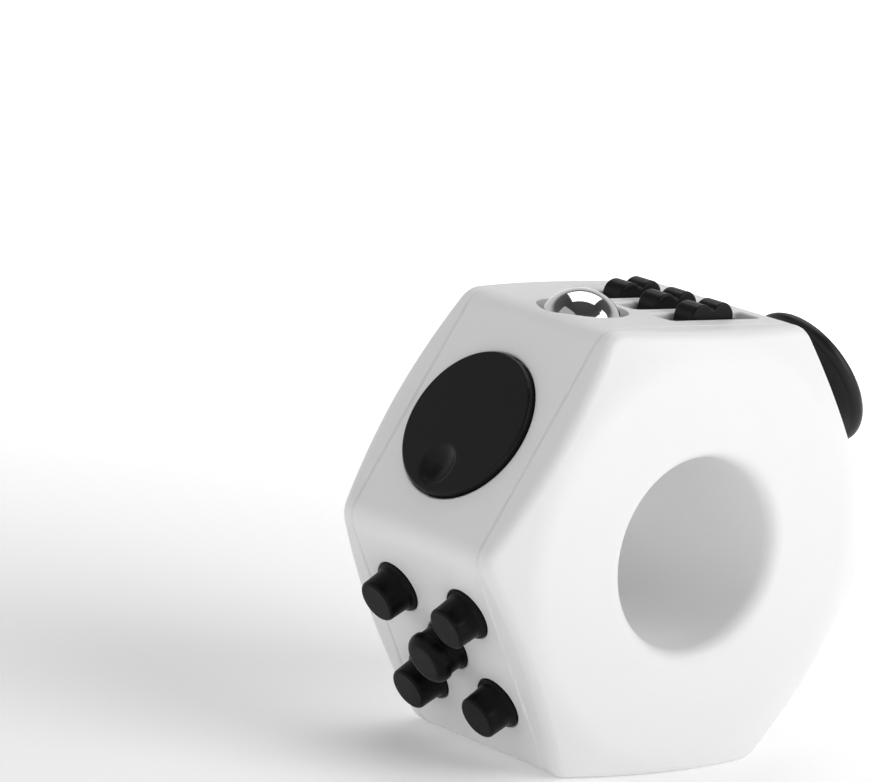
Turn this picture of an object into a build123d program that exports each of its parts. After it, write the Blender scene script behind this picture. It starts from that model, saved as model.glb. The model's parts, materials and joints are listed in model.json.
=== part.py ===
from build123d import *
import os
from math import cos, radians, sin, sqrt, tan

# Hexagonal desk fidget with a finger hole. Millimetres. The hole runs along Y, the front face looks
# along -Y, and the body has flat side faces on top and bottom. The origin is the middle of the hole.

# --- body ---
APOTHEM = 25.0              # middle of the hole to a side face
THICKNESS = 30.0            # front face to rear face
SEAM = 10.8                 # covers meet the band this far from the middle
WALL = 2.2
SIDE_ROUND = 3.0            # edges between two side faces
FRONT_ROUND = 1.4           # edges between an end face and the side faces
FACE_CIRCLE = 23.0          # radius of the flat part of an end face
FACE_SLOPE = 24.5           # degrees that the corners of an end face fall away
FACE_BLEND = 6.0            # radius of the soft edge between the flat and the slope
SEAM_CHAMFER = 0.22
HOLE_RADIUS = 10.9
HOLE_ROUND = 1.7
TUBE_RADIUS = 12.4          # outside of the finger tube
TUBE_END = 12.0             # the front cover's tube stops here, inside the rear cover's collar
LIP = 1.0                   # the band's lips reach this far into the covers
LIP_WALL = 0.8
COLLAR_RADIUS = 13.6         # the rear cover's collar around the end of the tube
COLLAR_START = 10.7
GAP = 0.05
PEG_CIRCLE = 24.0
PEG_RADIUS = 1.0
PEG_END = 6.5
POST_RADIUS = 2.1
POST_END = 10.3
POST_ANGLES = (0, 180, 240, 300)
HALF = THICKNESS / 2
INSIDE = APOTHEM - WALL

# --- side faces, named by what they carry ---
TOP_ANGLE = 90              # ball and wheels
DIAL_ANGLE = 150
CLICK_ANGLE = 210
DISH_ANGLE = 270
ROCKER_ANGLE = 330
STICK_ANGLE = 30

# --- dial ---
DIAL_RADIUS = 8.75
DIAL_ACROSS = -0.65         # the dial stands a little off the middle of its face
DIAL_ALONG = -0.5
DIAL_PROUD = 0.7
DIAL_EDGE_ROUND = 0.3
DIAL_SEAT = 1.2             # depth of the recess that the dial turns in
DIAL_GAP = 0.1
DIAL_HUB_RADIUS = 2.5
DIAL_BOSS_RADIUS = 4.8
DIAL_BOSS_END = 3.2
DIMPLE_RADIUS = 2.45
DIMPLE_DEPTH = 0.75
DIMPLE_ACROSS = -1.2
DIMPLE_DOWN = -5.9
DIMPLE_ROUND = 0.5
WASHER_RADIUS = 4.4
WASHER_THICKNESS = 0.8

# --- click buttons ---
BUTTON_PITCH = 12.0
BUTTON_BODY = 3.05
BUTTON_HOLE = 3.12
BUTTON_CAP = 2.6
BUTTON_CAP_TOP = 2.5
BUTTON_HEIGHT = 3.3
BUTTON_RING = 0.35
BUTTON_FLARE = 0.15
BUTTON_TOP_ROUND = 0.4
BUTTON_FLANGE = 3.7
BUTTON_FLANGE_THICKNESS = 1.0
BUTTON_BORE = 2.1
BUTTON_BORE_TOP = 0.8
CENTRE_HEIGHT = 3.7
CENTRE_NECK = 2.8
CENTRE_TOP_ROUND = 1.1
CENTRE_HEAD_START = 2.0
PLATE_TOP = 6.9             # depth of the spring plate's seat
PLATE_THICKNESS = 1.2
PLATE_WIDTH = 19.4
PLATE_LENGTH = 22.0
PLATE_CORNER = 1.5
PLATE_BOSS = 9.0            # the plate's screws stand this far from the middle of the face
PLATE_PEG_RADIUS = 1.2
PLATE_PEG_HEIGHT = 1.2
SPRING_RADIUS = 1.7
SPRING_WIRE = 0.35
SPRING_TURNS = 6

# --- screws ---
BOSS_RADIUS = 1.7
SCREW_RADIUS = 0.7
SCREW_HOLE = 0.85
SCREW_HEAD = 1.5
SCREW_HEAD_HEIGHT = 1.0
SCREW_LENGTH = 3.6

# --- ball ---
BALL_RADIUS = 5.0
BALL_X = -8.6
BALL_Y = -0.6
BALL_Z = 22.2
BALL_RECESS = 5.15
BALL_RECESS_DEPTH = 1.2
BALL_LIP_GAP = 0.08
SLEEVE_INSIDE = 5.36
SLEEVE_OUTSIDE = 6.3
CUP_RADIUS = 5.3
CUP_TOP = 19.8
CUP_BOTTOM = 16.2
CUP_SEAT_GAP = 0.05
PLUG_TOP = 13.8
PLUG_BOTTOM = 12.6
BALL_SPRING_RADIUS = 3.6
BALL_SPRING_WIRE = 0.4
BALL_SPRING_TURNS = 2.5

# --- wheels ---
WHEEL_PITCH = 6.0
WHEEL_WIDTH = 3.1
WHEEL_TIP = 5.55
WHEEL_LOBE = 1.65
WHEEL_VALLEY_ROUND = 0.35
WHEEL_EDGE_ROUND = 0.3
WHEEL_TEETH = 8
WHEEL_TURN = 3.5            # degrees that the wheels stand turned from an even pair of lobes on top
WHEEL_X = 4.75
AXLE_Z = 21.4
AXLE_RADIUS = 0.8
AXLE_GAP = 0.06
HUB_RADIUS = 1.35
HUB_WIDTH = 5.9
SLOT_LENGTH = 13.4
SLOT_WIDTH = 3.8
SLOT_CORNER = 0.7
HANGER_START = 9.05
HANGER_END = 10.5
HANGER_HALF = 1.8

# --- joystick ---
PIVOT_DEPTH = 7.0
STICK_HOLE = 5.6
DOME_RADIUS = 7.2
DOME_INSIDE = 6.1
NECK_RADIUS = 2.3
NECK_TOP = 4.0
NECK_PEG_RADIUS = 1.5
NECK_PEG_TOP = 6.0
CAP_RADIUS = 8.55
CAP_TOP = 7.8
CAP_DISH = 0.9
CAP_COLLAR = 3.4
CAP_BOWL_MIDDLE = (5.8, 4.75)   # (radius, height) points of the cap's profile
CAP_BOWL_END = (7.85, 6.05)
CAP_RIM_HEIGHT = 6.9
CAP_DISH_RADIUS = 7.85
CROSS_HUB = 1.5
CROSS_HUB_HALF = 0.9
CROSS_PIN = 0.7
CROSS_REACH = 3.7
EAR_INNER = 2.7
EAR_HALF = 1.3
PIN_GAP = 0.05
BASE_TOP = 10.0
BASE_THICKNESS = 1.0
BASE_WIDTH = 21.2
BASE_LENGTH = 11.0
BASE_BOSS = 8.95            # the base's screws stand this far across from the middle of the face
STICK_SPRING_RADIUS = 4.85
STICK_SPRING_WIRE = 0.5
STICK_SPRING_TOP = 3.9
STICK_SPRING_TURNS = 5

# --- rocker ---
ROCKER_PIVOT = 3.0
ROCKER_TILT = 8.0           # degrees either side of level
ROCKER_REACH = 7.1
ROCKER_WIDTH = 8.0
ROCKER_CREST = 5.3
ROCKER_CREST_HEIGHT = 4.7   # heights above the pivot
ROCKER_MIDDLE_HEIGHT = 3.8
ROCKER_BASE_HEIGHT = 0.6
ROCKER_WALL = 1.2
ROCKER_SHOULDER = 6.45
ROCKER_EDGE_ROUND = 0.45
ROCKER_POCKET_HEIGHT = 2.9
ROCKER_PIN_HALF = 6.3
ROCKER_NOSE_HALF_WIDTH = 1.5
ROCKER_HUB = 1.9
ROCKER_NOSE = 0.4
ROCKER_NOSE_DEPTH = 3.3
ROCKER_GAP = 0.2
ROCKER_OPENING = 14.4
PAD_THICKNESS = 2.0
PAD_END = 4.6
PAD_HALF = 2.2
LEAF_TOP = 6.68
LEAF_THICKNESS = 0.3
LEAF_RIDGE = 0.3
LEAF_HALF_LENGTH = 9.2
LEAF_WIDTH = 4.0
RIB_START = 8.6
RIB_END = 10.4
RIB_HALF = 2.6
RIB_DEPTH = 7.6

# --- worry dish ---
DISH_RADIUS = 8.0
DISH_DEPTH = 1.6
DISH_PAD_RADIUS = 9.6
DISH_PAD_DEPTH = 3.8

# --- rounding of the rims of the openings in each side face ---
RIM_ROUNDS = {
    TOP_ANGLE: 0.35,
    DIAL_ANGLE: 0.25,
    CLICK_ANGLE: 0.15,
    DISH_ANGLE: 0.8,
    ROCKER_ANGLE: 0.35,
    STICK_ANGLE: 0.4,
}


def outward(angle):
    """Outward normal of the side face at this angle in the XZ plane."""
    return Vector(cos(radians(angle)), 0, sin(radians(angle)))


def face_plane(angle, height=0.0):
    """Plane parallel to a side face, height above it, x across the body and y along the face."""
    normal = outward(angle)
    return Plane(origin=normal * (APOTHEM + height), x_dir=(0, -1, 0), z_dir=normal)


def turning_plane(angle, across=0.0, along=0.0):
    """Plane to draw turned profiles on: x is the radius, y the height above a side face."""
    face = face_plane(angle)
    return Plane(
        origin=face.from_local_coords((across, along, 0)),
        x_dir=face.x_dir,
        z_dir=face.x_dir.cross(face.z_dir),
    )


def turn(plane, points, mode=Mode.ADD):
    """Turn an outline of (radius, height) points about the plane's own y axis."""
    with BuildSketch(plane) as profile:
        with BuildLine():
            Polyline(*points, close=True)
        make_face()
    return revolve(profile.sketch, axis=Axis(plane.origin, plane.y_dir), mode=mode)


def tube(plane, inner, outer, low, high, mode=Mode.ADD):
    """Turned ring, or a rod when inner is 0, between two heights above the plane's face."""
    turn(plane, [(inner, low), (outer, low), (outer, high), (inner, high)], mode)


def hexagon_bar(apothem, corner, low, high, mode=Mode.ADD):
    """Hexagonal bar along Y from low to high, with rounded long edges."""
    with BuildSketch(Plane.XZ.offset(-high)) as outline:
        RegularPolygon(radius=apothem, side_count=6, major_radius=False)
        fillet(outline.vertices(), corner)
    extrude(outline.sketch, amount=high - low, mode=mode)


def cut_end_cones(face_y, circle):
    """Cut both ends of the body back outside a circle, as on a hexagonal nut, with a soft edge."""
    reach = 2 * APOTHEM
    slope = radians(FACE_SLOPE)
    fall = (reach - circle) * tan(slope)
    start = circle - FACE_BLEND * tan(slope / 2)
    for side in (-1, 1):
        middle, end = [
            (start + FACE_BLEND * sin(turned), side * (face_y - FACE_BLEND * (1 - cos(turned))))
            for turned in (slope / 2, slope)
        ]
        with BuildSketch(Plane.XY) as wedge:
            with BuildLine():
                ThreePointArc((start, side * face_y), middle, end)
                Polyline(end, (reach, side * (face_y - fall)), (reach, side * face_y), (start, side * face_y))
            make_face()
        revolve(wedge.sketch, axis=Axis.Y, mode=Mode.SUBTRACT)


def block(plane, across, along, low, high, mode=Mode.ADD):
    """Rectangular block on a side face, from (low, high) ranges across and along the face."""
    with BuildSketch(plane.offset(low)) as outline:
        with Locations(((across[0] + across[1]) / 2, (along[0] + along[1]) / 2)):
            Rectangle(across[1] - across[0], along[1] - along[0])
    extrude(outline.sketch, amount=high - low, mode=mode)


def coil(angle, across, along, low, high, radius, wire, turns):
    """Compression spring standing on a side face between two heights."""
    base = face_plane(angle, low + wire / 2)
    start = Plane(
        origin=base.from_local_coords((across, along, 0)), x_dir=base.x_dir, z_dir=base.z_dir
    )
    height = high - low - wire
    with BuildLine() as path:
        Helix(height / turns, height, radius, center=start.origin, direction=start.z_dir)
    with BuildSketch(Plane(origin=path.line @ 0, z_dir=path.line % 0)) as section:
        Circle(wire / 2)
    sweep(section.sketch, path=path.line, is_frenet=True)


def screw(angle, across, along, seat):
    """Pan-head screw driven outward into a boss, with its head's flat at the seat height."""
    plane = turning_plane(angle, across, along)
    tube(plane, 0, SCREW_HEAD, seat - SCREW_HEAD_HEIGHT, seat)
    tube(plane, 0, SCREW_RADIUS, seat, seat + SCREW_LENGTH)


def finish(part, name):
    """Name a finished piece and write it."""
    part.label = name
    export_step(part, f"parts/{name}.step")


os.makedirs("parts", exist_ok=True)

button_places = [(0, 0)] + [
    (across * BUTTON_PITCH / 2, along * BUTTON_PITCH / 2) for along in (1, -1) for across in (1, -1)
]
wheel_places = {"front": -WHEEL_PITCH, "middle": 0.0, "rear": WHEEL_PITCH}

# --- outer form of the whole body, and the space inside it ---
with BuildPart() as outer_form:
    hexagon_bar(APOTHEM, SIDE_ROUND, -HALF, HALF)
    cut_end_cones(HALF, FACE_CIRCLE)
    rims = outer_form.edges().filter_by(
        lambda edge: edge.center().Y ** 2 > SEAM**2 and edge.geom_type != GeomType.CIRCLE
    )
    rims = [edge for edge in rims if abs((edge @ 0).Y - (edge @ 1).Y) < WALL]
    fillet(rims, FRONT_ROUND)

with BuildPart() as inner_form:
    hexagon_bar(INSIDE, WALL / 3, -HALF + WALL, HALF - WALL)
    cut_end_cones(HALF - WALL / cos(radians(FACE_SLOPE)), FACE_CIRCLE)


def end_plane(side, distance):
    """Plane across the finger hole, facing the front (side -1) or the rear (side 1)."""
    return Plane(origin=(0, side * distance, 0), x_dir=(1, 0, 0), z_dir=(0, side, 0))


def cover_shell(side):
    """End wall and short side walls of a cover, with the rebate for the band's lip and its pegs."""
    add(outer_form.part)
    split(bisect_by=end_plane(side, SEAM), keep=Keep.TOP)
    seam_face = faces().sort_by(Axis((0, 0, 0), (0, -side, 0)))[-1]
    chamfer(seam_face.outer_wire().edges(), SEAM_CHAMFER)
    add(inner_form.part, mode=Mode.SUBTRACT)
    low, high = sorted((side * SEAM, side * (SEAM + LIP + GAP)))
    hexagon_bar(INSIDE + LIP_WALL + GAP, SIDE_ROUND, low, high, mode=Mode.SUBTRACT)
    with BuildSketch(end_plane(side, PEG_END)) as pegs:
        with Locations(*[end_plane(side, 0).to_local_coords(place) for place in peg_places]):
            Circle(PEG_RADIUS)
    extrude(pegs.sketch, amount=HALF - WALL - PEG_END)


def round_mouth(side):
    """Round the finger hole's edge where it meets an end face."""
    rims = edges().filter_by(lambda edge: edge.geom_type == GeomType.CIRCLE)
    rims = rims.filter_by(lambda edge: abs(edge.radius - HOLE_RADIUS) < GAP)
    fillet(rims.sort_by(Axis((0, 0, 0), (0, side, 0)))[-1], HOLE_ROUND)


def round_rims(angle, radius):
    """Round the rims of every opening in a side face."""
    side_face = faces().filter_by(GeomType.PLANE).sort_by(Axis((0, 0, 0), outward(angle)))[-1]
    rims = [edge for wire in side_face.inner_wires() for edge in wire.edges()]
    fillet(rims, radius)


def sphere_cut(centre, radius):
    """Hollow out a ball-shaped space."""
    with Locations(centre):
        Sphere(radius, mode=Mode.SUBTRACT)


def dish_cut(plane, radius, depth, height):
    """Cut a round thumb dish of this rim radius and depth below a flat at this height."""
    curve = (radius**2 + depth**2) / (2 * depth)
    half_rise = depth - curve + sqrt(curve**2 - radius**2 / 4)
    with BuildSketch(plane) as profile:
        with BuildLine():
            ThreePointArc(
                (0, height - depth), (radius / 2, height - half_rise), (radius, height)
            )
            Polyline((radius, height), (radius, height + WALL), (0, height + WALL), (0, height - depth))
        make_face()
    revolve(profile.sketch, axis=Axis(plane.origin, plane.y_dir), mode=Mode.SUBTRACT)


peg_places = [
    Vector(PEG_CIRCLE * cos(radians(angle)), 0, PEG_CIRCLE * sin(radians(angle)))
    for angle in POST_ANGLES
]
ball_centre = Vector(BALL_X, BALL_Y, BALL_Z)
ball_plane = turning_plane(TOP_ANGLE, -BALL_Y, BALL_X)
axle_plane = Plane(origin=(WHEEL_X, 0, AXLE_Z))
dial_plane = turning_plane(DIAL_ANGLE, DIAL_ACROSS, DIAL_ALONG)
stick_plane = turning_plane(STICK_ANGLE)
stick_face = face_plane(STICK_ANGLE)
stick_pivot = outward(STICK_ANGLE) * (APOTHEM - PIVOT_DEPTH)
stick_across = Plane(origin=stick_pivot)
stick_along = Plane(
    origin=stick_pivot, x_dir=stick_face.z_dir, z_dir=stick_face.z_dir.cross(stick_face.y_dir)
)
rocker_face = face_plane(ROCKER_ANGLE)
rocker_pivot = outward(ROCKER_ANGLE) * (APOTHEM - ROCKER_PIVOT)
rocker_axis_plane = Plane(origin=rocker_pivot)
rocker_side = Plane(origin=rocker_pivot, x_dir=rocker_face.y_dir, z_dir=rocker_face.x_dir)
tilted_side = Plane(
    origin=rocker_pivot,
    x_dir=rocker_side.x_dir * cos(radians(ROCKER_TILT)) + rocker_side.y_dir * sin(radians(ROCKER_TILT)),
    z_dir=rocker_side.z_dir,
)
leaf_side = Plane(origin=rocker_face.origin, x_dir=rocker_face.y_dir, z_dir=rocker_face.x_dir)

# --- covers: the front one carries the whole finger tube, the rear one a collar around its end ---
with BuildPart() as front_cover:
    cover_shell(-1)
    tube(Plane.XY, 0, TUBE_RADIUS, -HALF + WALL / 2, TUBE_END)
    tube(Plane.XY, 0, HOLE_RADIUS, -HALF, HALF, Mode.SUBTRACT)
    round_mouth(-1)
finish(front_cover.part, "front_cover")

with BuildPart() as rear_cover:
    cover_shell(1)
    tube(Plane.XY, 0, COLLAR_RADIUS, COLLAR_START, HALF - WALL / 2)
    tube(Plane.XY, 0, TUBE_RADIUS + GAP, COLLAR_START, TUBE_END, Mode.SUBTRACT)
    tube(Plane.XY, 0, HOLE_RADIUS, TUBE_END, HALF, Mode.SUBTRACT)
    round_mouth(1)
finish(rear_cover.part, "rear_cover")

# --- band: the six side walls, with the openings and mounts of every fidget ---
with BuildPart() as body_band:
    add(outer_form.part)
    for side in (-1, 1):
        split(bisect_by=end_plane(side, SEAM), keep=Keep.BOTTOM)
        end_face = faces().sort_by(Axis((0, 0, 0), (0, side, 0)))[-1]
        chamfer(end_face.outer_wire().edges(), SEAM_CHAMFER)
    hexagon_bar(INSIDE + LIP_WALL, SIDE_ROUND, -SEAM - LIP, SEAM + LIP)
    hexagon_bar(INSIDE, WALL / 3, -HALF, HALF, mode=Mode.SUBTRACT)
    for place in peg_places:
        tube(Plane(origin=place), PEG_RADIUS, POST_RADIUS, -POST_END, POST_END)

    # ball: a sleeve under a round recess whose floor is cut to keep the ball in
    tube(ball_plane, SLEEVE_INSIDE, SLEEVE_OUTSIDE, PLUG_BOTTOM - APOTHEM, -WALL + GAP)
    tube(ball_plane, 0, BALL_RECESS, -BALL_RECESS_DEPTH, WALL, Mode.SUBTRACT)
    sphere_cut(ball_centre, BALL_RADIUS + BALL_LIP_GAP)

    # wheels: three slots, and a hanger for each end of their axle
    for start, end in ((HANGER_START, HANGER_END), (-HANGER_END, -HANGER_START)):
        with BuildSketch(Plane.XY.offset(AXLE_Z - HANGER_HALF)) as hanger:
            with Locations((WHEEL_X, (start + end) / 2)):
                Rectangle(2 * HANGER_HALF, end - start)
        extrude(hanger.sketch, amount=INSIDE - AXLE_Z + HANGER_HALF + GAP)
    tube(axle_plane, 0, AXLE_RADIUS, -HANGER_END, HANGER_END, Mode.SUBTRACT)
    with BuildSketch(Plane.XY.offset(INSIDE)) as slots:
        with Locations(*[(WHEEL_X, y) for y in wheel_places.values()]):
            Rectangle(SLOT_LENGTH, SLOT_WIDTH)
        fillet(slots.vertices(), SLOT_CORNER)
    extrude(slots.sketch, amount=WALL, mode=Mode.SUBTRACT)

    # dial: a shallow round seat with a bearing boss behind it
    tube(dial_plane, 0, DIAL_BOSS_RADIUS, -DIAL_BOSS_END, -WALL + GAP)
    tube(dial_plane, 0, DIAL_RADIUS + DIAL_GAP + GAP, -DIAL_SEAT, WALL, Mode.SUBTRACT)
    tube(dial_plane, 0, DIAL_HUB_RADIUS + AXLE_GAP, -HALF, 0, Mode.SUBTRACT)

    # click buttons: five holes, and two bosses for the spring plate
    for along in (-PLATE_BOSS, PLATE_BOSS):
        boss_plane = turning_plane(CLICK_ANGLE, 0, along)
        tube(boss_plane, SCREW_RADIUS, BOSS_RADIUS, -PLATE_TOP, -WALL + GAP)
    for across, along in button_places:
        hole_plane = turning_plane(CLICK_ANGLE, across, along)
        tube(hole_plane, 0, BUTTON_HOLE, -HALF, WALL, Mode.SUBTRACT)

    # joystick: a round hole, and two bosses for the gimbal's base
    for across in (-BASE_BOSS, BASE_BOSS):
        boss_plane = turning_plane(STICK_ANGLE, across)
        tube(boss_plane, SCREW_RADIUS, BOSS_RADIUS, -BASE_TOP, -WALL + GAP)
    tube(stick_plane, 0, STICK_HOLE, -WALL - GAP, WALL, Mode.SUBTRACT)

    # rocker: an opening, a pad for each end of its pin, and two ribs that hold the leaf spring
    pad_start = ROCKER_WIDTH / 2 + ROCKER_GAP
    for side in (-1, 1):
        pad = sorted((side * pad_start, side * (pad_start + PAD_THICKNESS)))
        block(rocker_face, pad, (-PAD_HALF, PAD_HALF), -PAD_END, -WALL + GAP)
        rib = sorted((side * RIB_START, side * RIB_END))
        block(rocker_face, (-RIB_HALF, RIB_HALF), rib, -RIB_DEPTH, -WALL + GAP)
    block(
        rocker_face,
        (-LEAF_WIDTH / 2 - GAP, LEAF_WIDTH / 2 + GAP),
        (-LEAF_HALF_LENGTH - GAP, LEAF_HALF_LENGTH + GAP),
        -LEAF_TOP - LEAF_THICKNESS - GAP,
        -LEAF_TOP + GAP,
        Mode.SUBTRACT,
    )
    tube(rocker_axis_plane, 0, AXLE_RADIUS, -ROCKER_PIN_HALF, ROCKER_PIN_HALF, Mode.SUBTRACT)
    block(
        rocker_face,
        (-pad_start, pad_start),
        (-ROCKER_OPENING / 2, ROCKER_OPENING / 2),
        -WALL - GAP,
        WALL,
        Mode.SUBTRACT,
    )

    # worry dish: a smooth hollow for the thumb, with the wall made thicker behind it
    dish_plane = turning_plane(DISH_ANGLE)
    tube(dish_plane, 0, DISH_PAD_RADIUS, -DISH_PAD_DEPTH, -WALL + GAP)
    dish_cut(dish_plane, DISH_RADIUS, DISH_DEPTH, 0)

    for angle, radius in RIM_ROUNDS.items():
        round_rims(angle, radius)
finish(body_band.part, "body_band")

# --- spinning dial, held in by a washer and screw behind the wall ---
with BuildPart() as spin_dial:
    tube(dial_plane, 0, DIAL_RADIUS, -DIAL_SEAT + DIAL_GAP, DIAL_PROUD)
    tube(dial_plane, 0, DIAL_HUB_RADIUS, -DIAL_BOSS_END - DIAL_GAP, -DIAL_SEAT + DIAL_GAP)
    rims = edges().filter_by(lambda edge: edge.geom_type == GeomType.CIRCLE)
    fillet(rims.sort_by(Axis((0, 0, 0), outward(DIAL_ANGLE)))[-1], DIAL_EDGE_ROUND)
    dimple_plane = turning_plane(DIAL_ANGLE, DIMPLE_ACROSS, DIMPLE_DOWN)
    dish_cut(dimple_plane, DIMPLE_RADIUS, DIMPLE_DEPTH, DIAL_PROUD)
    round_rims(DIAL_ANGLE, DIMPLE_ROUND)
    washer_seat = -DIAL_BOSS_END - DIAL_GAP - WASHER_THICKNESS
    tube(dial_plane, 0, SCREW_RADIUS, -HALF, washer_seat + SCREW_LENGTH, Mode.SUBTRACT)
finish(spin_dial.part, "spin_dial")

with BuildPart() as dial_washer:
    tube(dial_plane, SCREW_RADIUS, WASHER_RADIUS, washer_seat, washer_seat + WASHER_THICKNESS)
finish(dial_washer.part, "dial_washer")

with BuildPart() as dial_screw:
    screw(DIAL_ANGLE, DIAL_ACROSS, DIAL_ALONG, washer_seat)
finish(dial_screw.part, "dial_screw")


# --- click buttons, each on its own spring, all five springs on one plate ---
def button(place, outline, top_round):
    """Button in a hole of the click face: a flange inside, a hollow for its spring, and its cap."""
    plane = turning_plane(CLICK_ANGLE, *place)
    flange_top = -WALL - GAP
    flange_bottom = flange_top - BUTTON_FLANGE_THICKNESS
    tube(plane, 0, BUTTON_FLANGE, flange_bottom, flange_top)
    turn(plane, [(0, flange_top), (BUTTON_BODY, flange_top), (BUTTON_BODY, 0), *outline])
    rims = edges().filter_by(lambda edge: edge.geom_type == GeomType.CIRCLE)
    fillet(rims.sort_by(Axis((0, 0, 0), outward(CLICK_ANGLE)))[-1], top_round)
    tube(plane, 0, BUTTON_BORE, flange_bottom, -BUTTON_BORE_TOP, Mode.SUBTRACT)


corner_outline = [
    (BUTTON_BODY, BUTTON_RING / 2),
    (BUTTON_CAP + BUTTON_FLARE, BUTTON_RING),
    (BUTTON_CAP, BUTTON_RING + 2 * BUTTON_FLARE),
    (BUTTON_CAP_TOP, BUTTON_HEIGHT),
    (0, BUTTON_HEIGHT),
]
centre_outline = [
    (BUTTON_BODY, BUTTON_RING / 2),
    (CENTRE_NECK + BUTTON_FLARE, BUTTON_RING),
    (CENTRE_NECK, BUTTON_RING + 2 * BUTTON_FLARE),
    (CENTRE_NECK, CENTRE_HEAD_START),
    (BUTTON_BODY, CENTRE_HEAD_START + BUTTON_BODY - CENTRE_NECK),
    (BUTTON_BODY, CENTRE_HEIGHT),
    (0, CENTRE_HEIGHT),
]
button_names = ["centre", "upper_front", "upper_rear", "lower_front", "lower_rear"]
for name, place in zip(button_names, button_places):
    centre = name == "centre"
    with BuildPart() as click_button:
        if centre:
            button(place, centre_outline, CENTRE_TOP_ROUND)
        else:
            button(place, corner_outline, BUTTON_TOP_ROUND)
    finish(click_button.part, f"click_button_{name}")
    with BuildPart() as button_spring:
        coil(
            CLICK_ANGLE, *place, -PLATE_TOP, -BUTTON_BORE_TOP, SPRING_RADIUS, SPRING_WIRE, SPRING_TURNS
        )
    finish(button_spring.part, f"button_spring_{name}")

with BuildPart() as button_plate:
    with BuildSketch(face_plane(CLICK_ANGLE, -PLATE_TOP - PLATE_THICKNESS)) as plate:
        RectangleRounded(PLATE_WIDTH, PLATE_LENGTH, PLATE_CORNER)
        with Locations((0, -PLATE_BOSS), (0, PLATE_BOSS)):
            Circle(SCREW_HOLE, mode=Mode.SUBTRACT)
    extrude(plate.sketch, amount=PLATE_THICKNESS)
    with BuildSketch(face_plane(CLICK_ANGLE, -PLATE_TOP)) as spring_pegs:
        with Locations(*button_places):
            Circle(PLATE_PEG_RADIUS)
    extrude(spring_pegs.sketch, amount=PLATE_PEG_HEIGHT)
finish(button_plate.part, "button_plate")

with BuildPart() as button_plate_screws:
    for along in (-PLATE_BOSS, PLATE_BOSS):
        screw(CLICK_ANGLE, 0, along, -PLATE_TOP - PLATE_THICKNESS)
finish(button_plate_screws.part, "button_plate_screws")

# --- ball on a sprung cup, closed off by a plug pressed into the sleeve ---
with BuildPart() as roll_ball:
    with Locations(ball_centre):
        Sphere(BALL_RADIUS)
finish(roll_ball.part, "roll_ball")

with BuildPart() as ball_cup:
    tube(ball_plane, 0, CUP_RADIUS, CUP_BOTTOM - APOTHEM, CUP_TOP - APOTHEM)
    sphere_cut(ball_centre, BALL_RADIUS + CUP_SEAT_GAP)
finish(ball_cup.part, "ball_cup")

with BuildPart() as ball_plug:
    tube(ball_plane, 0, SLEEVE_INSIDE, PLUG_BOTTOM - APOTHEM, PLUG_TOP - APOTHEM)
finish(ball_plug.part, "ball_plug")

with BuildPart() as ball_spring:
    coil(
        TOP_ANGLE,
        -BALL_Y,
        BALL_X,
        PLUG_TOP - APOTHEM,
        CUP_BOTTOM - APOTHEM,
        BALL_SPRING_RADIUS,
        BALL_SPRING_WIRE,
        BALL_SPRING_TURNS,
    )
finish(ball_spring.part, "ball_spring")

# --- three lobed wheels that turn freely on one axle ---
for name, wheel_y in wheel_places.items():
    with BuildPart() as wheel:
        with BuildSketch(Plane.XZ.offset(-wheel_y - WHEEL_WIDTH / 2)) as lobes:
            with Locations((WHEEL_X, AXLE_Z)):
                Circle(WHEEL_TIP - WHEEL_LOBE)
                with PolarLocations(WHEEL_TIP - WHEEL_LOBE, WHEEL_TEETH, 180 / WHEEL_TEETH + WHEEL_TURN):
                    Circle(WHEEL_LOBE)
            fillet(lobes.vertices(), WHEEL_VALLEY_ROUND)
        extrude(lobes.sketch, amount=WHEEL_WIDTH)
        ends = edges().group_by(Axis.Y)
        fillet(ends[0] + ends[-1], WHEEL_EDGE_ROUND)
        low, high = wheel_y - HUB_WIDTH / 2, wheel_y + HUB_WIDTH / 2
        tube(axle_plane, 0, HUB_RADIUS, low, high)
        tube(axle_plane, 0, AXLE_RADIUS + AXLE_GAP, low, high, Mode.SUBTRACT)
    finish(wheel.part, f"thumb_wheel_{name}")

with BuildPart() as wheel_axle:
    tube(axle_plane, 0, AXLE_RADIUS, -HANGER_END - GAP, HANGER_END + GAP)
finish(wheel_axle.part, "wheel_axle")

# --- joystick: a cap on a domed stem, tilting both ways on a cross held by the base ---
with BuildPart() as joystick_cap:
    with BuildSketch(stick_plane) as profile:
        with BuildLine():
            ThreePointArc((CAP_COLLAR, NECK_TOP), CAP_BOWL_MIDDLE, CAP_BOWL_END)
            ThreePointArc(CAP_BOWL_END, (CAP_RADIUS, CAP_RIM_HEIGHT), (CAP_DISH_RADIUS, CAP_TOP))
            Polyline(
                (CAP_DISH_RADIUS, CAP_TOP),
                (0, CAP_TOP),
                (0, NECK_PEG_TOP),
                (NECK_PEG_RADIUS, NECK_PEG_TOP),
                (NECK_PEG_RADIUS, NECK_TOP),
                (CAP_COLLAR, NECK_TOP),
            )
        make_face()
    revolve(profile.sketch, axis=Axis(stick_plane.origin, stick_plane.y_dir))
    dish_cut(stick_plane, CAP_DISH_RADIUS - GAP, CAP_DISH, CAP_TOP)
finish(joystick_cap.part, "joystick_cap")

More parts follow.
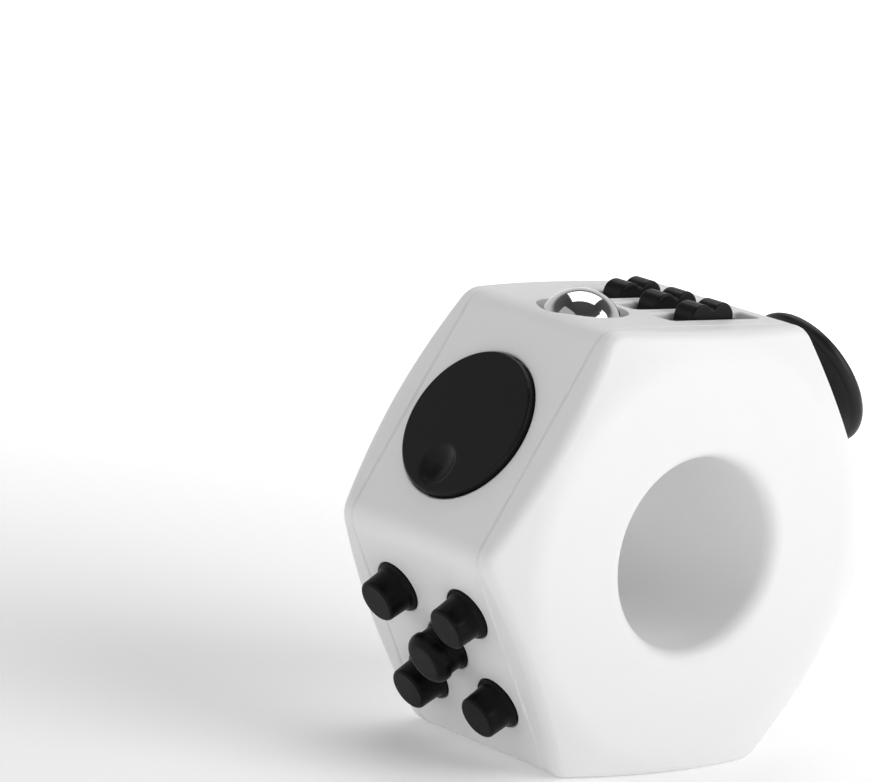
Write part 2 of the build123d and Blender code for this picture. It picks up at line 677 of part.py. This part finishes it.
with BuildPart() as joystick_dome:
    with Locations(stick_pivot):
        Sphere(DOME_RADIUS)
    sphere_cut(stick_pivot, DOME_INSIDE)
    split(bisect_by=face_plane(STICK_ANGLE, -PIVOT_DEPTH), keep=Keep.TOP)
    for side in (-1, 1):
        ear = sorted((side * EAR_INNER, side * CROSS_REACH))
        ear_low = -PIVOT_DEPTH - EAR_HALF
        block(stick_face, (-EAR_HALF, EAR_HALF), ear, ear_low, -WALL + GAP)
    tube(stick_along, 0, CROSS_PIN + PIN_GAP, -HALF, HALF, Mode.SUBTRACT)
    tube(stick_plane, 0, NECK_RADIUS, -WALL / 4, NECK_TOP)
    tube(stick_plane, 0, NECK_PEG_RADIUS, NECK_TOP, NECK_PEG_TOP)
finish(joystick_dome.part, "joystick_dome")

with BuildPart() as joystick_cross:
    tube(stick_plane, 0, CROSS_HUB, -PIVOT_DEPTH - CROSS_HUB_HALF, -PIVOT_DEPTH + CROSS_HUB_HALF)
    tube(stick_across, 0, CROSS_PIN, -CROSS_REACH, CROSS_REACH)
    tube(stick_along, 0, CROSS_PIN, -CROSS_REACH, CROSS_REACH)
finish(joystick_cross.part, "joystick_cross")

with BuildPart() as joystick_base:
    with BuildSketch(face_plane(STICK_ANGLE, -BASE_TOP - BASE_THICKNESS)) as plate:
        RectangleRounded(BASE_WIDTH, BASE_LENGTH, PLATE_CORNER)
        with Locations((-BASE_BOSS, 0), (BASE_BOSS, 0)):
            Circle(SCREW_HOLE, mode=Mode.SUBTRACT)
    extrude(plate.sketch, amount=BASE_THICKNESS)
    for side in (-1, 1):
        ear = sorted((side * EAR_INNER, side * CROSS_REACH))
        block(stick_face, ear, (-EAR_HALF, EAR_HALF), -BASE_TOP - GAP, -PIVOT_DEPTH + EAR_HALF)
    tube(stick_across, 0, CROSS_PIN + PIN_GAP, -CROSS_REACH - GAP, CROSS_REACH + GAP, Mode.SUBTRACT)
finish(joystick_base.part, "joystick_base")

with BuildPart() as joystick_base_screws:
    for across in (-BASE_BOSS, BASE_BOSS):
        screw(STICK_ANGLE, across, 0, -BASE_TOP - BASE_THICKNESS)
finish(joystick_base_screws.part, "joystick_base_screws")

with BuildPart() as joystick_spring:
    coil(
        STICK_ANGLE,
        0,
        0,
        -BASE_TOP,
        -STICK_SPRING_TOP,
        STICK_SPRING_RADIUS,
        STICK_SPRING_WIRE,
        STICK_SPRING_TURNS,
    )
finish(joystick_spring.part, "joystick_spring")

# --- rocker switch on its pin, clicking over the ridge of a leaf spring ---
with BuildPart() as rocker_switch:
    with BuildSketch(tilted_side) as profile:
        with BuildLine():
            for side in (-1, 1):
                crest = (side * ROCKER_CREST, ROCKER_CREST_HEIGHT)
                base = (side * ROCKER_REACH, ROCKER_BASE_HEIGHT)
                shoulder_height = sqrt(ROCKER_REACH**2 - ROCKER_SHOULDER**2)
                ThreePointArc(base, (side * ROCKER_SHOULDER, shoulder_height), crest)
                Line(crest, (0, ROCKER_MIDDLE_HEIGHT))
            Line((-ROCKER_REACH, ROCKER_BASE_HEIGHT), (ROCKER_REACH, ROCKER_BASE_HEIGHT))
        make_face()
        fillet(profile.vertices().filter_by(lambda point: point.Y > ROCKER_MIDDLE_HEIGHT), ROCKER_EDGE_ROUND)
    extrude(profile.sketch, amount=ROCKER_WIDTH / 2, both=True)
    ends = edges().group_by(Axis.Y)
    chamfer(ends[0] + ends[-1], ROCKER_EDGE_ROUND)
    with BuildSketch(tilted_side) as pocket:
        with BuildLine():
            Polyline(
                (-ROCKER_CREST, 0),
                (-ROCKER_CREST + ROCKER_WALL / 2, ROCKER_POCKET_HEIGHT),
                (0, ROCKER_MIDDLE_HEIGHT - ROCKER_WALL),
                (ROCKER_CREST - ROCKER_WALL / 2, ROCKER_POCKET_HEIGHT),
                (ROCKER_CREST, 0),
                close=True,
            )
        make_face()
    extrude(pocket.sketch, amount=ROCKER_WIDTH / 2 - ROCKER_WALL, both=True, mode=Mode.SUBTRACT)
    tube(rocker_axis_plane, 0, ROCKER_HUB, -ROCKER_WIDTH / 2, ROCKER_WIDTH / 2)
    with BuildSketch(tilted_side) as nose:
        with BuildLine():
            Polyline(
                (-ROCKER_WALL, 0),
                (-ROCKER_NOSE, -ROCKER_NOSE_DEPTH),
                (ROCKER_NOSE, -ROCKER_NOSE_DEPTH),
                (ROCKER_WALL, 0),
                close=True,
            )
        make_face()
        with Locations((0, -ROCKER_NOSE_DEPTH)):
            Circle(ROCKER_NOSE)
    extrude(nose.sketch, amount=ROCKER_NOSE_HALF_WIDTH, both=True)
    tube(
        rocker_axis_plane, 0, AXLE_RADIUS + AXLE_GAP, -ROCKER_WIDTH, ROCKER_WIDTH, Mode.SUBTRACT
    )
finish(rocker_switch.part, "rocker_switch")

with BuildPart() as rocker_pin:
    tube(rocker_axis_plane, 0, AXLE_RADIUS, -ROCKER_PIN_HALF, ROCKER_PIN_HALF)
finish(rocker_pin.part, "rocker_pin")

with BuildPart() as rocker_leaf_spring:
    with BuildSketch(leaf_side) as strip:
        with BuildLine():
            Polyline(
                (-LEAF_HALF_LENGTH, -LEAF_TOP - LEAF_THICKNESS),
                (LEAF_HALF_LENGTH, -LEAF_TOP - LEAF_THICKNESS),
                (LEAF_HALF_LENGTH, -LEAF_TOP),
                (LEAF_RIDGE, -LEAF_TOP),
                (0, -LEAF_TOP + LEAF_RIDGE),
                (-LEAF_RIDGE, -LEAF_TOP),
                (-LEAF_HALF_LENGTH, -LEAF_TOP),
                close=True,
            )
        make_face()
    extrude(strip.sketch, amount=LEAF_WIDTH / 2, both=True)
finish(rocker_leaf_spring.part, "rocker_leaf_spring")
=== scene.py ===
import json
import math

import bpy
import numpy as np
from mathutils import Matrix, Vector


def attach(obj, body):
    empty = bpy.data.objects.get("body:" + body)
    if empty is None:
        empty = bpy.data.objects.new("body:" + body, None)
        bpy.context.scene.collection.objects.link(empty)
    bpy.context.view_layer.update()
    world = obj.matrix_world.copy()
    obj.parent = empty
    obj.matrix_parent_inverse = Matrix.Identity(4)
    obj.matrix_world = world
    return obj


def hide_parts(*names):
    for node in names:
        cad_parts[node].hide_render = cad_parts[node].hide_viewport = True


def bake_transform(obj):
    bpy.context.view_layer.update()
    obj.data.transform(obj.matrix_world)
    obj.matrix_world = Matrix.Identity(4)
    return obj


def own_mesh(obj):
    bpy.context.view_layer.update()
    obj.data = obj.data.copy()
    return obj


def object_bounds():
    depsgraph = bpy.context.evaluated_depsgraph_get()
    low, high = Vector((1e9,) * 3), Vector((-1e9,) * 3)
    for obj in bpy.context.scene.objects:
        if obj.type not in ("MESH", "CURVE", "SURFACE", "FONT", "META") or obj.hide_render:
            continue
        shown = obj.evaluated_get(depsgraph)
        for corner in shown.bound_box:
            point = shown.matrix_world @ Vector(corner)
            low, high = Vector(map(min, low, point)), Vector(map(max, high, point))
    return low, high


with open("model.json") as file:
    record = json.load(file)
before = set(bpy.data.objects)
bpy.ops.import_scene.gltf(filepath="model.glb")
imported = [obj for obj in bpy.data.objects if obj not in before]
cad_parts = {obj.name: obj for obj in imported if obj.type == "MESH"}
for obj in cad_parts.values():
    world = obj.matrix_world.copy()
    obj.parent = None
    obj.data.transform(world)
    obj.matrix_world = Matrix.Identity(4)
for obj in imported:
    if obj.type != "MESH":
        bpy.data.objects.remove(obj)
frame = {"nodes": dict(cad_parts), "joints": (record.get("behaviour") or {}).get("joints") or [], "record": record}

# Hexagonal desk fidget: materials for its CAD nodes, wound springs, studio and camera. Metres.

cad_low, cad_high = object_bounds()

# --- camera: a long lens from the front left, a little above, held slightly tilted. Degrees ---
CAMERA_DISTANCE = 0.5482        # metres from the frame's origin
CAMERA_AZIMUTH = 42.834         # to the left of straight on
CAMERA_ELEVATION = 12.1
CAMERA_YAW = 2.207
CAMERA_PITCH = 1.287
CAMERA_ROLL = 7.299
LENS_MM = 202.26
SENSOR_MM = 36.0
NEAR_SHARE = 0.01               # nothing nearer than this share of the distance is drawn

# --- studio ---
FLOOR_SIZE = 6.0
FLOOR_COLOUR = (0.9, 0.9, 0.9)
FLOOR_ROUGHNESS = 0.9
# The floor's glow is painted light: it whitens the floor and softens the shadow round the object, and is dimmest
# near the object
PAINTED_GLOW_COLOUR = (1.0, 1.0, 1.0)
FLOOR_PAINTED_GLOW = (0.12, 0.95)       # at the dimmest place, and far from it
PAINTED_GLOW_REACH = (0.03, 0.42)       # metres from the dimmest place over which the glow grows
PAINTED_GLOW_SHIFT = (0.035, -0.04, 0.0)        # puts the dimmest place left of the object and behind it
SKY_BANDS = (                   # height of a direction, from 0 to 1, and the sky's brightness there
    (0.0, 1.0),
    (0.10, 0.80),
    (0.42, 0.68),
    (0.56, 0.12),
    (0.90, 0.06),
    (1.0, 0.08),
)

# --- materials: scales are in features per metre ---
COAT_ROUGHNESS = 0.16
SHEEN_ROUGHNESS = 0.35
NOISE_SPAN = (0.3, 0.7)         # most noise values lie in this range
CLOUD_SCALE = 90.0
CLOUD_DETAIL = 4.0
GLOSS_PATCH = 6                 # patches of even gloss are this many times as wide as the grain
GLOSS_DETAIL = 5.0
GRAIN_DETAIL = 2.0
MARK_DETAIL = 4.0
OWN_LOOK = {"joystick_cap": "joystick_rubber"}  # a little greyer than the other rubber, not coated

# --- springs: wire thickness in metres, and turns ---
BUTTON_WIRE, BUTTON_TURNS = 0.00035, 8
BALL_WIRE, BALL_TURNS = 0.0004, 4
STICK_WIRE, STICK_TURNS = 0.0005, 6
WIRE_SIDES = 12
STEPS_PER_TURN = 40
CLOSED_TURNS = 1.0              # turns at each end that lie wire on wire

record = frame["record"]
nodes = frame["nodes"]
joints = {joint["name"]: joint for joint in frame["joints"]}


# --- materials ---
def principled(name):
    """A new node material with its Principled shader and the tree that holds it."""
    material = bpy.data.materials.new(name)
    material.use_nodes = True
    return material, material.node_tree, material.node_tree.nodes["Principled BSDF"]


def noise(tree, scale, detail, stretch=(1.0, 1.0, 1.0)):
    """Noise in the object's own space. Scale is in features per metre."""
    place = tree.nodes.new("ShaderNodeTexCoord")
    mapping = tree.nodes.new("ShaderNodeMapping")
    mapping.inputs["Scale"].default_value = stretch
    texture = tree.nodes.new("ShaderNodeTexNoise")
    texture.inputs["Scale"].default_value = scale
    texture.inputs["Detail"].default_value = detail
    tree.links.new(place.outputs["Object"], mapping.inputs["Vector"])
    tree.links.new(mapping.outputs["Vector"], texture.inputs["Vector"])
    return texture.outputs["Fac"]


def between(tree, factor, low, high):
    """Spread a noise value over the range from low to high."""
    spread = tree.nodes.new("ShaderNodeMapRange")
    spread.inputs["From Min"].default_value, spread.inputs["From Max"].default_value = NOISE_SPAN
    spread.inputs["To Min"].default_value = low
    spread.inputs["To Max"].default_value = high
    tree.links.new(factor, spread.inputs["Value"])
    return spread.outputs["Result"]


def tint(tree, factor, first, second):
    """Blend two colours by a noise value."""
    mix = tree.nodes.new("ShaderNodeMix")
    mix.data_type = "RGBA"
    mix.inputs["A"].default_value = (*first, 1.0)
    mix.inputs["B"].default_value = (*second, 1.0)
    tree.links.new(factor, mix.inputs["Factor"])
    return mix.outputs["Result"]


def grain(tree, shader, height, depth):
    """Fine relief from a noise value, depth metres deep."""
    bump = tree.nodes.new("ShaderNodeBump")
    bump.inputs["Distance"].default_value = depth
    tree.links.new(height, bump.inputs["Height"])
    tree.links.new(bump.outputs["Normal"], shader.inputs["Normal"])


def moulded(name, light, dark, rough, grain_scale, grain_depth, shine=0.5, coat=0.0, sheen=0.0):
    """Moulded plastic or rubber: faint clouding, uneven gloss and a fine spark-eroded grain.

    The gloss varies over the range rough, grain_depth is in metres, and shine, coat and sheen are
    weights from 0 to 1.
    """
    material, tree, shader = principled(name)
    shader.inputs["Specular IOR Level"].default_value = shine
    shader.inputs["Coat Weight"].default_value = coat
    shader.inputs["Coat Roughness"].default_value = COAT_ROUGHNESS
    shader.inputs["Sheen Weight"].default_value = sheen
    shader.inputs["Sheen Roughness"].default_value = SHEEN_ROUGHNESS
    clouds = noise(tree, CLOUD_SCALE, CLOUD_DETAIL)
    tree.links.new(tint(tree, clouds, dark, light), shader.inputs["Base Color"])
    gloss = between(tree, noise(tree, grain_scale / GLOSS_PATCH, GLOSS_DETAIL), *rough)
    tree.links.new(gloss, shader.inputs["Roughness"])
    grain(tree, shader, noise(tree, grain_scale, GRAIN_DETAIL), grain_depth)
    return material


def metal(name, light, dark, rough, stretch, scale, depth):
    """Polished or drawn metal: its marks run along the axes where stretch is smallest."""
    material, tree, shader = principled(name)
    shader.inputs["Metallic"].default_value = 1.0
    marks = noise(tree, scale, MARK_DETAIL, stretch)
    tree.links.new(tint(tree, marks, dark, light), shader.inputs["Base Color"])
    tree.links.new(between(tree, marks, *rough), shader.inputs["Roughness"])
    grain(tree, shader, marks, depth)
    return material


materials = {
    "white_plastic": moulded(
        "white_plastic", light=(0.83, 0.83, 0.83), dark=(0.80, 0.80, 0.80),
        rough=(0.36, 0.48), grain_scale=5200.0, grain_depth=6e-6,
    ),
    "black_plastic": moulded(
        "black_plastic", light=(0.0100, 0.0100, 0.0103), dark=(0.0070, 0.0070, 0.0072),
        rough=(0.30, 0.42), grain_scale=5200.0, grain_depth=6e-6, shine=0.10, coat=0.08, sheen=0.03,
    ),
    "black_rubber": moulded(
        "black_rubber", light=(0.0050, 0.0050, 0.0052), dark=(0.0034, 0.0034, 0.0036),
        rough=(0.36, 0.48), grain_scale=4200.0, grain_depth=8e-6, shine=0.04, coat=0.14, sheen=0.03,
    ),
    "joystick_rubber": moulded(
        "joystick_rubber", light=(0.0085, 0.0085, 0.0088), dark=(0.0060, 0.0060, 0.0062),
        rough=(0.34, 0.48), grain_scale=3000.0, grain_depth=1.4e-5, shine=0.30, sheen=0.05,
    ),
    "inner_plastic": moulded(
        "inner_plastic", light=(0.72, 0.72, 0.70), dark=(0.66, 0.66, 0.64),
        rough=(0.42, 0.55), grain_scale=3800.0, grain_depth=8e-6,
    ),
    "chrome_ball": metal(
        "chrome_ball", light=(0.70, 0.70, 0.71), dark=(0.65, 0.65, 0.66),
        rough=(0.03, 0.07), stretch=(1, 1, 1), scale=160.0, depth=2e-7,
    ),
    "steel": metal(
        "steel", light=(0.66, 0.66, 0.67), dark=(0.50, 0.50, 0.51),
        rough=(0.24, 0.38), stretch=(1, 12, 12), scale=400.0, depth=2e-6,
    ),
    "spring_steel": metal(
        "spring_steel", light=(0.56, 0.56, 0.57), dark=(0.40, 0.40, 0.41),
        rough=(0.22, 0.36), stretch=(1, 1, 6), scale=900.0, depth=2e-6,
    ),
}
for entry in record["subparts"]:
    node = nodes[entry["node"]]
    look = OWN_LOOK.get(entry["node"], entry["material_slot"])
    for material_slot in node.material_slots:
        material_slot.material = materials[look]


# --- springs: wound wire with closed end turns ---
def measured(node, axis):
    """A coil's middle line, its lowest and highest place along the axis, and its outer radius."""
    points = np.array([vertex.co for vertex in node.data.vertices])
    direction = np.array(axis)
    along = points @ direction
    middle = points.mean(axis=0)
    middle = Vector(middle - direction * (middle @ direction))
    around = points - np.outer(along, direction) - np.array(middle)
    radius = float(np.linalg.norm(around, axis=1).max())
    return middle, float(along.min()), float(along.max()), radius


def wound_spring(name, axis, wire, turns):
    """Compression spring on the place of its CAD node, as one swept tube, with foot and length."""
    cad = nodes[name]
    middle, low, high, outer = measured(cad, axis)
    radius = outer - wire / 2
    side = axis.orthogonal().normalized()
    across = axis.cross(side)
    end_rise = CLOSED_TURNS * wire
    free_rise = (high - low - wire) - 2 * end_rise
    steps = int(turns * STEPS_PER_TURN)
    line = []
    for step in range(steps + 1):
        turn = turns * step / steps
        from_end = min(turn, turns - turn)
        if from_end <= CLOSED_TURNS:
            rise = wire * from_end
        else:
            rise = end_rise + free_rise * (from_end - CLOSED_TURNS) / (turns - 2 * CLOSED_TURNS)
        height = rise if turn <= turns / 2 else (high - low - wire) - rise
        angle = 2 * math.pi * turn
        spoke = side * math.cos(angle) + across * math.sin(angle)
        line.append((middle + axis * (low + wire / 2 + height) + spoke * radius, spoke))
    points, faces = [], []
    for index, (centre, spoke) in enumerate(line):
        ahead = line[min(index + 1, steps)][0] - line[max(index - 1, 0)][0]
        up = ahead.cross(spoke).normalized()
        for corner in range(WIRE_SIDES):
            angle = 2 * math.pi * corner / WIRE_SIDES
            points.append(centre + (spoke * math.cos(angle) + up * math.sin(angle)) * wire / 2)
    for index in range(steps):
        for corner in range(WIRE_SIDES):
            near = index * WIRE_SIDES
            far = near + WIRE_SIDES
            after = (corner + 1) % WIRE_SIDES
            faces.append((near + corner, near + after, far + after, far + corner))
    faces.append(tuple(reversed(range(WIRE_SIDES))))
    faces.append(tuple(steps * WIRE_SIDES + corner for corner in range(WIRE_SIDES)))
    mesh = bpy.data.meshes.new(f"{name}_wire")
    mesh.from_pydata(points, [], faces)
    mesh.materials.append(materials["spring_steel"])
    mesh.shade_smooth()
    piece = bpy.data.objects.new(f"{name}_wire", mesh)
    bpy.context.scene.collection.objects.link(piece)
    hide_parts(name)
    return piece, middle + axis * low, high - low


for joint in frame["joints"]:
    if joint["type"] != "slide":
        continue
    for entry in joint.get("deforming_nodes", []):
        name = entry["node"]
        axis = Vector(joint["axis"]).normalized()
        is_ball = name == "ball_spring"
        wire, turns = (BALL_WIRE, BALL_TURNS) if is_ball else (BUTTON_WIRE, BUTTON_TURNS)
        piece, foot, length = wound_spring(name, axis, wire, turns)
        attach(piece, "housing")
        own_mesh(piece)

# The joystick's spring stands square to both tilt axes and points outward.
stick = joints["joystick_tilt_along"]
tilt_across = Vector(joints["joystick_tilt_across"]["axis"])
stick_axis = tilt_across.cross(Vector(stick["axis"])).normalized()
stick_axis *= math.copysign(1, stick_axis.dot(Vector(stick["pos_m"])))
piece, foot, length = wound_spring("joystick_spring", stick_axis, STICK_WIRE, STICK_TURNS)
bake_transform(piece)


# --- studio ---
def floor():
    """Pale floor with painted light: its own glow, dimmest near the object and growing away from it, whitens the
    floor and softens the object's shadow.
    """
    half = FLOOR_SIZE / 2
    mesh = bpy.data.meshes.new("floor")
    corners = [(-half, -half), (half, -half), (half, half), (-half, half)]
    mesh.from_pydata([(x, y, cad_low.z) for x, y in corners], [], [(0, 1, 2, 3)])
    material, tree, shader = principled("floor")
    shader.inputs["Base Color"].default_value = (*FLOOR_COLOUR, 1.0)
    shader.inputs["Roughness"].default_value = FLOOR_ROUGHNESS
    shader.inputs["Emission Color"].default_value = (*PAINTED_GLOW_COLOUR, 1.0)
    place = tree.nodes.new("ShaderNodeTexCoord")
    shift = tree.nodes.new("ShaderNodeVectorMath")
    shift.inputs[1].default_value = PAINTED_GLOW_SHIFT
    tree.links.new(place.outputs["Object"], shift.inputs[0])
    reach = tree.nodes.new("ShaderNodeVectorMath")
    reach.operation = "LENGTH"
    tree.links.new(shift.outputs["Vector"], reach.inputs[0])
    painted_glow = tree.nodes.new("ShaderNodeMapRange")
    painted_glow.inputs["From Min"].default_value, painted_glow.inputs["From Max"].default_value = PAINTED_GLOW_REACH
    painted_glow.inputs["To Min"].default_value, painted_glow.inputs["To Max"].default_value = FLOOR_PAINTED_GLOW
    tree.links.new(reach.outputs["Value"], painted_glow.inputs["Value"])
    # painted light: the floor's own glow, weakest near the object and growing with distance
    tree.links.new(painted_glow.outputs["Result"], shader.inputs["Emission Strength"])
    mesh.materials.append(material)
    piece = bpy.data.objects.new("floor", mesh)
    bpy.context.scene.collection.objects.link(piece)


def softbox(name, azimuth, elevation, distance, size, watts):
    """Square area light aimed at the object. Azimuth 0 is in front, positive to the right."""
    turn, rise = math.radians(azimuth), math.radians(elevation)
    level = math.cos(rise)
    toward = Vector((math.sin(turn) * level, -math.cos(turn) * level, math.sin(rise)))
    lamp = bpy.data.lights.new(name, "AREA")
    lamp.size = size
    lamp.energy = watts
    holder = bpy.data.objects.new(name, lamp)
    holder.location = toward * distance
    holder.rotation_mode = "QUATERNION"
    holder.rotation_quaternion = (-toward).to_track_quat("-Z", "Y")
    bpy.context.scene.collection.objects.link(holder)


def sky():
    """Soft light from all round, bright near the horizon and dim overhead."""
    world = bpy.data.worlds.new("studio")
    world.use_nodes = True
    tree = world.node_tree
    place = tree.nodes.new("ShaderNodeTexCoord")
    split = tree.nodes.new("ShaderNodeSeparateXYZ")
    bands = tree.nodes.new("ShaderNodeValToRGB")
    stops = bands.color_ramp.elements
    ready = len(stops)
    for index, (height, brightness) in enumerate(SKY_BANDS):
        stop = stops[index] if index < ready else stops.new(height)
        stop.position = height
        stop.color = (brightness, brightness, brightness, 1.0)
    tree.links.new(place.outputs["Generated"], split.inputs["Vector"])
    tree.links.new(split.outputs["Z"], bands.inputs["Fac"])
    tree.links.new(bands.outputs["Color"], tree.nodes["Background"].inputs["Color"])
    bpy.context.scene.world = world


def camera():
    """Camera at its place round the object, then turned by its own yaw, pitch and roll."""
    turn, rise = math.radians(CAMERA_AZIMUTH), math.radians(CAMERA_ELEVATION)
    level = math.cos(rise)
    back = Vector((-math.sin(turn) * level, -math.cos(turn) * level, math.sin(rise)))
    right = Vector((math.cos(turn), -math.sin(turn), 0))
    up = back.cross(right)
    aim = Matrix((right, up, back)).transposed()
    yaw = Matrix.Rotation(math.radians(CAMERA_YAW), 3, "Y")
    pitch = Matrix.Rotation(math.radians(CAMERA_PITCH), 3, "X")
    roll = Matrix.Rotation(math.radians(CAMERA_ROLL), 3, "Z")
    data = bpy.data.cameras.new("camera")
    data.lens = LENS_MM
    data.sensor_width = SENSOR_MM
    data.clip_start = CAMERA_DISTANCE * NEAR_SHARE
    holder = bpy.data.objects.new("camera", data)
    turned = (aim @ yaw @ pitch @ roll).to_4x4()
    holder.matrix_world = Matrix.Translation(back * CAMERA_DISTANCE) @ turned
    bpy.context.scene.collection.objects.link(holder)
    bpy.context.scene.camera = holder


floor()
sky()
softbox("key", azimuth=30.0, elevation=33.0, distance=0.7, size=0.45, watts=2.05)
softbox("kicker", azimuth=47.0, elevation=47.0, distance=0.7, size=0.16, watts=0.2)
softbox("top", azimuth=137.0, elevation=62.0, distance=0.6, size=0.46, watts=1.4)
softbox("left", azimuth=-100.0, elevation=40.0, distance=0.7, size=0.5, watts=0.36)
camera()
bpy.context.scene.view_settings.view_transform = "Standard"
